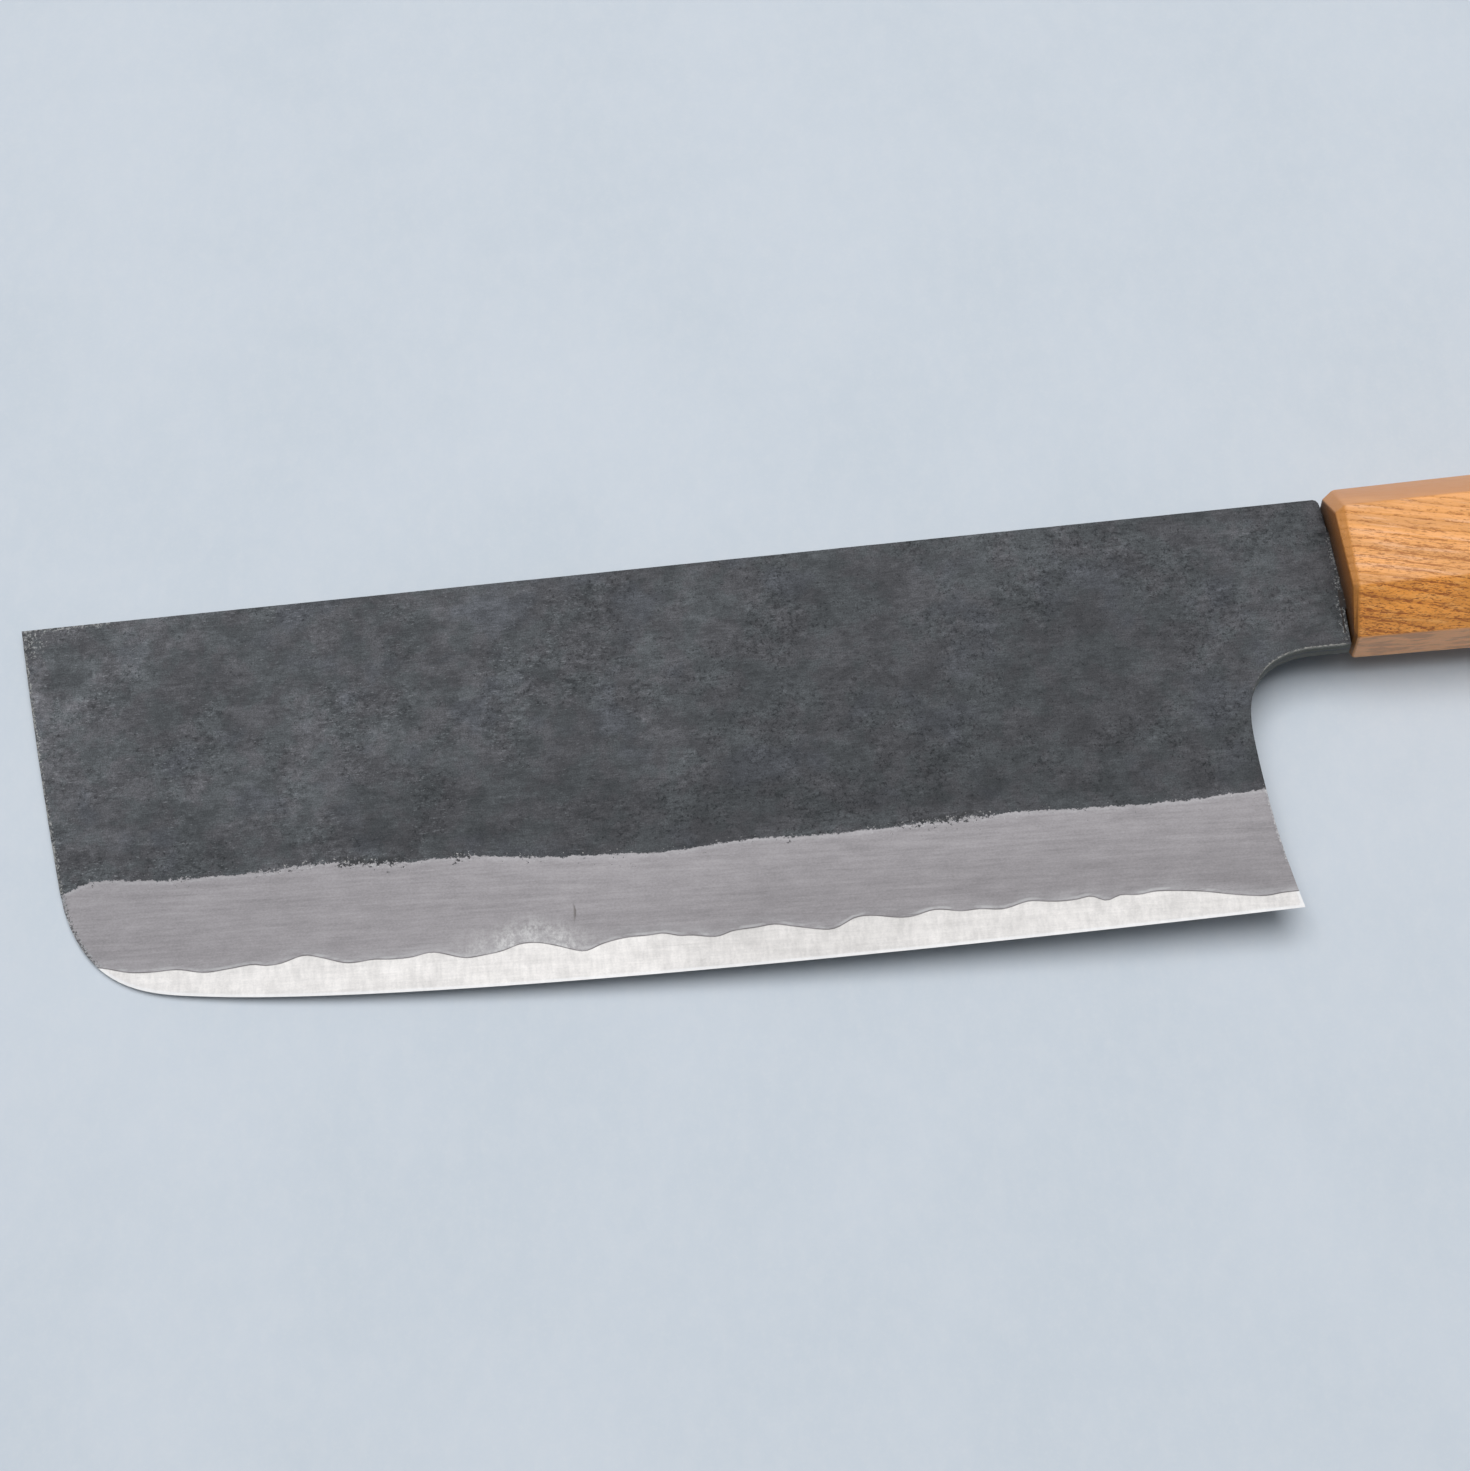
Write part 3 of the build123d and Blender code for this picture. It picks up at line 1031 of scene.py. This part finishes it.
# %% The large clouds of the scale
scale_clouds = (
    ((-72, -63, -57, -51), (0.5, 4, 11, 17), 0.78),
    ((-31, -24, -18, -10), (1, 4, 9, 17), 1.32),
    ((-154, -147, -102, -88), (6, 10, 14, 19), 0.86),
    ((-230, -220, -157, -147), (0.5, 2, 5, 8.5), 1.25),
)
swirl_centre = place(-171 * mm, 3.4 * mm)


def scale_shade(spot, along_blade, above_grind):
    """How dark the scale is from place to place on this blade."""
    shade = above_grind.between(0, 14, 0.6, 1.0) * along_blade.between(-118, -78, 1.2, 0.91)
    shade *= above_grind.between(0.6, 3.2, 1.38, 1.0)
    shade *= along_blade.between(-156, -164, 1.0, 1.13)
    shade *= along_blade.between(-12, -4, 1.0, 0.9)
    for run, rise, factor in scale_clouds:
        cloud = along_blade.window(*run) * above_grind.window(*rise)
        shade *= cloud.fade(factor)
    swirl = spot - in_mm(swirl_centre) + texture(spot, 0.45, 3, 0.6) * (3, 3, 0)
    ring = (swirl * (0.9, 1.1, 0)).length().window(1.6, 3.4, 4.6, 6.4)
    smudge = ring * texture(spot, 0.5, 4, 0.65).between(0.36, 0.56)
    return shade * smudge.fade(1.38)


print(len(scale_clouds), "large clouds in the scale")

# %% [markdown]
# Wear shows where the blade is touched: at the tip, along the front and at the mouth of the handle the
# scale is flecked and dented, and the eased rim shines, less on the side that faces the table, as painted
# shade. The walls of the blade, which stand square to its faces, carry an earthier scale that is also
# darkened as painted shade.

# %% The material of the claddings
thin_wall = (1, 1, 7)


def new_iron(name, lines, depth):
    """A material of the blade, with its places, its scale and its grinding marks."""
    material, wires, shader = new_material(name)
    spot = wires.millimetres(thin_wall)
    scale = wires.add("ShaderNodeGroup", {"Position": spot}, node_tree=forge_scale)
    inputs = {"Position": spot, "Lines per mm": lines, "Depth": depth}
    marks = wires.add("ShaderNodeGroup", inputs, node_tree=grinding_marks)
    return material, wires, shader, spot, scale, marks


def finish_iron(wires, shader, tone, is_scale, ground_roughness, scale, marks):
    """Ground iron is metal and scale hardly is. Each has its own roughness and relief."""
    wires.feed(shader, {
        "Base Color": tone,
        "Metallic": is_scale.fade(0.15),
        "Roughness": is_scale.slide(ground_roughness, scale["Roughness"]),
        "Normal": is_scale.slide(marks["Height"] * 0.1, scale["Height"]).bump(0.04 * mm),
    })


def make_cladding_iron():
    material, wires, shader, spot, scale, marks = new_iron("Forged soft iron", 3.2, 0.11)
    measures = wires.measures("above_grind", "above_weld", "from_rim", "worn")
    above_grind, above_weld, from_rim, rim_shine_and_shade = measures
    along_blade, up_blade = (spot - in_mm(place(0, 0))).parts()[:2]

    line, crowd = scale_edge(spot, along_blade, above_grind)
    is_scale = line.between(-0.05, 0.07)
    ground = ground_bevel(spot, along_blade, above_grind, above_weld, line, marks)
    skin = is_scale.blend(ground, shaded(scale["Colour"], scale_shade(spot, along_blade, above_grind)))
    crumb, speck = crumbs_and_specks(spot, line, crowd, above_grind)

    at_tip = along_blade.between(tip_x / mm + 6, tip_x / mm)
    at_tip *= up_blade.between(spine_y / mm - 11, spine_y / mm)
    at_front = along_blade.between(-162, -168) * from_rim.between(1.0, 0.0)
    at_mouth = along_blade.between(shoulder_x / mm - 0.9, shoulder_x / mm, 0, 0.11)
    wear = greatest(at_tip * 0.16, at_front * 0.2, at_mouth)
    is_worn = wear.between(0.0, 0.05) * 0.7
    chips = texture(spot, 2.6, 4, 0.75)
    dents = texture(spot + (3, 3, 8), 2.6, 3, 0.7)
    wall = abs(wires.facing()[2]).between(0.6, 0.3)
    # The walls get an earthier scale, also darkened as painted shade.
    earthy_shaded_scale = shaded(scale["Colour"], 0.85).toward((0.06, 0.062, 0.042), 0.8)
    # The rim's worn shine, held lower on the side that faces the table as painted shade.
    bright = (rim_shine_and_shade + (chips - 0.5) * 1.8).between(0.45, 0.85) * rim_shine_and_shade.between(0.02, 0.2)
    skin = skin.coated(
        ((0.6, 0.58, 0.56), speck * 0.7),
        ((0.028, 0.028, 0.029), crumb * 0.88),
        ((0.42, 0.42, 0.41), (chips + wear).between(0.64, 0.7) * is_worn),
        ((0.035, 0.035, 0.035), (dents + wear).between(0.66, 0.71) * is_worn),
        # Walls: earthier scale with painted shade.
        (earthy_shaded_scale, wall * is_scale),
        (is_scale.blend((0.7, 0.67, 0.65), (0.35, 0.34, 0.31)), bright * 0.85),
    )
    finish_iron(wires, shader, skin, is_scale, 0.45, scale, marks)
    return material


# %% [markdown]
# The core steel is harder than the iron, so stones leave finer lines on it and a whiter shine.
# Faint blotches run across the bright strip, and its honed rim is the palest part of it. Above
# the grind line only the core's thin wall is seen. It wears the same scale as the claddings, so
# that the three layers look like one forged plate there.

# %% The material of the core steel
def make_core_steel():
    material, wires, shader, spot, scale, marks = new_iron("Bright core steel", 4.0, 0.06)
    above_grind, above_weld, from_rim = wires.measures("above_grind", "above_weld", "from_rim")
    along_blade = (spot - in_mm(place(0, 0))).parts()[0]
    cross = texture(spot * (1.5, 0.22, 1), 1.0, 4, 0.6)
    cloudy = texture(spot, 0.35, 4, 0.6)
    shade = marks["Shade"] * cross.between(0.3, 0.7, 0.925, 1.05) * cloudy.between(0.3, 0.7, 0.94, 1.045)
    shade *= along_blade.between(-97, -84, 1.0, 0.86)
    shade *= along_blade.between(-70, -50, 1.0, 1.06)
    tone = shaded((0.79, 0.737, 0.69), shade).coated(
        ((0.88, 0.86, 0.84), from_rim.between(0.5, 0.25) * 0.5),
        (weld_tone, above_weld.between(-0.06, -0.01, 0, 0.45)),
        ((0.33, 0.32, 0.33), above_weld.between(0.0, 0.3)),
    )
    is_scale = above_grind.between(-0.1, 0.1)
    tone = is_scale.blend(tone, shaded(scale["Colour"], 0.62))
    finish_iron(wires, shader, tone, is_scale, 0.4, scale, marks)
    return material


cladding_iron = make_cladding_iron()
core_steel = make_core_steel()
for piece, finish in ((left, cladding_iron), (right, cladding_iron), (core, core_steel)):
    piece.data.materials.append(finish)
print("finishes", cladding_iron.name, "and", core_steel.name)

# %% [markdown]
# ## Wood with rings and pores
#
# The wood is ring-porous: each year's growth starts with a row of wide pores, seen as dark short
# dashes where they are cut lengthwise, and ends in a smoother, paler band. The grain runs at a
# slight slant to the handle. Building the rings as a solid pattern in space, instead of drawing
# them on each facet, makes them meet at the facets' edges as in real timber.

# %% Rings and pores
grain_dip, grain_slant = 2, 13.5


def drawn_out(turned, along, across, detail=3, roughness=0.6):
    """Noise that is drawn out along the grain."""
    return texture(turned * (along, across, across), 1.0, detail, roughness)


def early_wood(turned):
    """One where a year's growth starts, and nought in its smoother end."""
    high, deep = turned.parts()[1:]
    ring = high + deep * 0.55 - deep * deep * 0.02
    ring += drawn_out(turned, 0.015, 0.06, 3, 0.55) * 5.0
    ring += drawn_out(turned, 0.12, 0.7, 2, 0.5) * 0.9
    phase = turned.wires.work("FRACT", ring * 0.8)
    return phase.between(0.42, 0.0) + phase.between(0.93, 1.0)


def wood_pores(turned, early, pore_crowding_and_shade):
    """Wide pores, and fine ones that are not so dark."""
    wide = drawn_out(turned, 0.95, 5.0, 3, 0.62) + pore_crowding_and_shade + early * 0.1
    fine = texture(turned * (1.2, 7.0, 7.0) + (4, 4, 4), 1.0, 2, 0.6) + pore_crowding_and_shade + early * 0.05
    return greatest(wide.between(0.57, 0.65), fine.between(0.55, 0.66) * 0.6)


print("the grain slants by", grain_slant, "degrees")

# %% [markdown]
# Each facet gets its own copy of the wood's colour, painted for the light and shade that fall on it: the
# facet that slants down to the edge side is deeper and more golden, the one that slants up to the spine
# side is duskier, and the narrow side towards the edge is greyer. The narrow side is also streaked.

# %% The colours of the wood
light_wood, middle_wood, dark_wood = (0.9, 0.435, 0.17), (0.8, 0.36, 0.105), (0.62, 0.25, 0.05)


def plain_wood(turned, fibre, patches, early, smooth):
    """The colour that all facets start from, darker where a year's growth starts, with pale streaks along
    the fibres as painted sheen.
    """
    tone = fibre.between(0.35, 0.65).blend(middle_wood, light_wood)
    tone = tone.toward(dark_wood, early * smooth.between(0, 1, 0.52, 0.12))
    tone = shaded(tone, drawn_out(turned, 0.06, 0.55).between(0.36, 0.64, 0.87, 1.1))
    return tone.coated(
        (light_wood, patches.between(0.4, 0.7, 0, 0.3)),
        # Pale streaks along the fibres: painted sheen.
        ((0.95, 0.55, 0.32), drawn_out(turned, 0.07, 1.6).between(0.54, 0.66) * 0.5),
    )


def facet_light_and_shade(tone, turned, fibre, patches, lower_slant, upper_slant, side):
    """The same colour, given its own painted light and shade on each facet: golden on the lower slant,
    dusky on the upper slant and greyish on the narrow side.
    """
    # Painted shade per facet: golden and deeper on the lower slant, dusky on the upper slant, greyish on
    # the narrow side.
    golden_shade = tone.toward((0.98, 0.82, 0.42), 1.0, "MULTIPLY")
    tone = tone.toward(golden_shade, lower_slant)
    dusky_shade = tone.toward((0.64, 0.272, 0.092), patches.between(0.35, 0.65, 0.4, 0.9))
    tone = tone.toward(dusky_shade, upper_slant)
    greyish_shade = tone.coated(
        ((0.9, 0.4, 0.155), fibre.between(0.3, 0.7, 0.45, 0.9)),
        ((0.4, 0.165, 0.058), drawn_out(turned, 0.04, 1.1).between(0.46, 0.6) * 0.55),
    )
    return tone.toward(greyish_shade, side)


print("tones of the wood", light_wood, middle_wood, dark_wood)

# %% [markdown]
# The facets are told apart by the way they face. Fewer pores and fainter rings show on the facets that
# slant up to the spine side and on the narrow sides, and more and darker pores show on the lower slant, as
# painted shade. The handle's front face is darkest at its middle plane and lighter outwards, a smear of
# resin together with painted shade beside the blade, and the butt shows end grain. Faces turned down are
# darker and greyer, as painted shade. Both end faces drink more oil than the facets, so they have no coat.

# %% The material of the handle
def make_handle_wood():
    material, wires, shader = new_material("Oiled ring porous wood")
    spot = wires.millimetres() - in_mm(place(0, 0))
    turned = spot.turned(0, grain_dip, grain_slant)
    early = early_wood(turned)

    from_mouth, height_up, level_out = spot.parts()
    facing = wires.facing()
    is_up = facing[2].between(0.3, 0.5)
    upper_slant = facing[1].between(0.3, 0.5) * is_up
    lower_slant = facing[1].between(-0.3, -0.5) * is_up
    side = facing[1].between(-0.85, -0.97)
    back = facing[1].between(0.85, 0.97)
    # Fewer pores and fainter rings on the upper slant and the narrow sides, most near the mouth.
    smooth = greatest(upper_slant, side, back) * from_mouth.between(18, 45, 1.0, 0.55)

    pore_crowding_and_shade = drawn_out(turned, 0.08, 0.3).between(0.35, 0.65, -0.03, 0.03)
    # More pores on the lower slant, which is turned from the light: painted shade.
    pore_crowding_and_shade = pore_crowding_and_shade + lower_slant * 0.02 + height_up.between(1.0, 5.0, 0, -0.06)
    pore = wood_pores(turned, early, pore_crowding_and_shade) * smooth.fade(0.12)
    fibre = drawn_out(turned, 0.16, 2.6, 4, 0.7)
    patches = drawn_out(turned, 0.05, 0.12, 3, 0.5)
    tone = plain_wood(turned, fibre, patches, early, smooth)
    # Each facet gets its own painted light and shade.
    tone = facet_light_and_shade(tone, turned, fibre, patches, lower_slant, upper_slant, side)

    end_on = abs(facing[0])
    end_face = end_on.between(0.8, 0.95)
    at_butt = from_mouth.between(40, 60)
    # The front face is darkest at its middle plane, next to the blade: a resin smear and painted shade.
    stain_and_shade = greatest(abs(level_out).between(1.6, 7.8, 0.1, 1.05), at_butt * 1.2)
    stain_and_shade *= (at_butt * greatest(early * 0.7, pore)).fade(0.55)
    tone = tone.coated(
        # Darker pores on the lower slant: painted shade.
        ((0.28, 0.072, 0.008), pore * lower_slant.between(0, 1, 0.63, 0.87)),
        ((0.6, 0.235, 0.04), end_on.between(0.3, 0.7, 0, 0.75)),
        # The end faces: end grain, a resin smear and painted shade beside the blade.
        (shaded((0.36, 0.125, 0.02), stain_and_shade), end_face * 0.92),
        # Faces turned down are darker and greyer: painted shade.
        ((0.16, 0.125, 0.105), facing[2].between(-0.2, -0.6, 0, 0.6)),
    )
    wires.feed(shader, {
        "Base Color": tone,
        "Roughness": fibre.between(0.3, 0.7, 0.42, 0.55),
        "Coat Weight": end_face.between(0, 1, 0.3, 0.0),
        "Coat Roughness": 0.25,
        "Normal": (fibre * 0.35 - pore).bump(0.04 * mm, 0.7),
    })
    return material


handle_wood = make_handle_wood()
handle.data.materials.append(handle_wood)
print("wood", len(handle_wood.node_tree.nodes), "nodes")

# %% [markdown]
# ## Resin round the tang
#
# The tang is bedded in dark resin, of which only a thin line shows round the neck, in the mouth
# of the handle. The frame's own piece has the right shape for that, so it is kept as it is and
# only gets a finish: nearly black, lumpy, and dusted with pale specks.

# %% The resin in the mouth
def make_resin():
    material, wires, shader = new_material("Dark resin")
    spot = wires.millimetres()
    lumps = texture(spot, 1.4, 4, 0.6)
    dust = texture(spot + (5, 5, 5), 2.8, 3, 0.7).between(0.62, 0.7)
    dark = lumps.blend((0.012, 0.01, 0.01), (0.05, 0.04, 0.034))
    wires.feed(shader, {
        "Base Color": dark.toward((0.5, 0.5, 0.48), dust * 0.7),
        "Roughness": 0.5,
        "Normal": lumps.bump(0.1 * mm),
    })
    return material


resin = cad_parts["tang_resin"]
resin.data.materials.clear()
resin.data.materials.append(make_resin())
print("resin dressed")

# %% [markdown]
# ## Where the knife lies
#
# Put down on its right side, the knife touches the table at three points: a corner of the
# handle's mouth, the lower corner of the tip and the front end of the grind line. The floor is
# a plane through these three, so it leans by a few degrees against the knife's own axes. Far
# away it thins out into the pale studio, so that it has no hard end.

# %% The floor
touching = [
    place(mouth_bevel, -mouth_height * (0.5 - slant_height_share), -mouth_width / 2 - spread * mouth_bevel),
    place(tip_x, spine_y, -spine_at_tip / 2),
    place(band_front[0].x, band_front[0].y, -half_flat(band_front[0].x, band_front[0].y)),
]
floor_up = (touching[1] - touching[0]).cross(touching[2] - touching[0]).normalized()
if floor_up.z < 0:
    floor_up = -floor_up
sink = 0.03 * mm
floor_half_side = 4.0
floor_colour = (0.597, 0.651, 0.716)
thin_from, thin_to = 330, 1400


def build_floor():
    bm = bmesh.new()
    bmesh.ops.create_grid(bm, x_segments=8, y_segments=8, size=floor_half_side)
    for vert in bm.verts:
        away = vert.co - touching[0]
        vert.co.z = touching[0].z - sink - (floor_up.x * away.x + floor_up.y * away.y) / floor_up.z
    bmesh.ops.recalc_face_normals(bm, faces=bm.faces)
    return finish_mesh(bm, "floor")


def make_floor_paper():
    material, wires, shader = new_material("Pale floor")
    spot = wires.millimetres()
    clouds = texture(spot, 0.03, 4, 0.6).between(0.3, 0.7)
    smears = texture(spot * (1, 0.6, 1), 0.45, 4, 0.65).between(0.35, 0.75, 0.0, 0.24)
    grain = texture(spot + (5, 1, 0), 1.6, 4, 0.7).between(0.45, 0.75, 0.0, 0.2)
    tone = clouds.blend((0.58, 0.636, 0.7), (0.608, 0.66, 0.724))
    tone = tone.toward((0.68, 0.71, 0.75), smears)
    wires.feed(shader, {
        "Base Color": tone.toward((0.68, 0.715, 0.75), grain),
        "Alpha": spot.length().between(thin_from, thin_to, 1.0, 0.0),
        "Roughness": 0.8,
        "Specular IOR Level": 0.2,
    })
    return material


floor = build_floor()
floor.data.materials.append(make_floor_paper())
print("floor leans", [round(c, 4) for c in floor_up])

# %% [markdown]
# ## Light
#
# A soft lamp hangs straight over the blade, as over a studio table, so the shadows are narrow
# and soft. It is brighter at its centre, which two squares of light, one inside the other, say
# well enough. A weak even light from all around lifts the shadows a little. Together they add up
# to plain white light of strength one, so that colours come out about as they are written. The
# inner square isn't seen in reflections, because it would burn out the polished steel. What the
# steel mirrors beside the lamp is the pale studio, which has the colour of the floor.

# %% Sky and lamp
fill_colour = (0.105, 0.118, 0.128)
lamp_height = 1.2
lamp_shift = 0.13


def make_sky():
    world = bpy.data.worlds.new("Pale studio")
    bpy.context.scene.world = world
    world.use_nodes = True
    wires = Wiring(world.node_tree)
    path = wires.add("ShaderNodeLightPath")
    seen = greatest(path["Is Camera Ray"], path["Is Glossy Ray"], path["Is Transmission Ray"])
    sky = world.node_tree.nodes["Background"].inputs
    wires.feed(sky, {"Color": seen.blend(fill_colour, floor_colour), "Strength": 1.0})


def link_camera_or_lamp(name, data, location, turn):
    """An object that stands at a place and is turned by a quaternion."""
    made = bpy.data.objects.new(name, data)
    bpy.context.scene.collection.objects.link(made)
    made.location = location
    made.rotation_mode = "QUATERNION"
    made.rotation_quaternion = turn
    return made


def make_lamp(name, side, power, mirrored):
    """A square soft lamp straight over the blade, for all rays or for matt surfaces only."""
    light = bpy.data.lights.new(name, "AREA")
    light.shape = "SQUARE"
    light.size = side
    light.energy = power
    blade_middle = place((tip_x + heel_x) / 2, (spine_y + lowest_y) / 2)
    above = blade_middle + floor_up * lamp_height + Vector((0, lamp_shift, 0))
    lamp = link_camera_or_lamp(name, light, above, (-floor_up).to_track_quat("-Z", "Y"))
    lamp.visible_glossy = mirrored
    print(name, side, "m wide")


make_sky()
make_lamp("Wide soft lamp", 1.44, 4.2, mirrored=True)
make_lamp("Inner soft lamp", 0.84, 12.0, mirrored=False)

# %% [markdown]
# ## Camera
#
# The camera stands over the edge side of the blade and looks down steeply. Its place, lens and
# roll were worked out from the photograph, from the places of the tip, the heel, the spine and
# the handle's facets in the picture.

# %% The camera
camera_azimuth, camera_elevation, camera_roll = 9.398, 68.182, 14.206
camera_distance = 347.23 * mm
camera_aim = place(-81.005 * mm, -14.728 * mm)


def make_camera():
    a, e = radians(camera_azimuth), radians(camera_elevation)
    back = Vector((sin(a) * cos(e), -cos(a) * cos(e), sin(e)))
    data = bpy.data.cameras.new("camera")
    data.sensor_fit = "HORIZONTAL"
    data.sensor_width = 36
    data.lens = 64.15
    data.clip_start, data.clip_end = 0.01, 20
    roll = Matrix.Rotation(radians(-camera_roll), 4, "Z").to_quaternion()
    turn = (-back).to_track_quat("-Z", "Y") @ roll
    camera = link_camera_or_lamp("camera", data, camera_aim + back * camera_distance, turn)
    bpy.context.scene.camera = camera


make_camera()
bpy.context.scene.view_settings.view_transform = "Standard"
print("camera", round(camera_distance, 3), "m from the blade")

# %% [markdown]
# ## The dressed knife
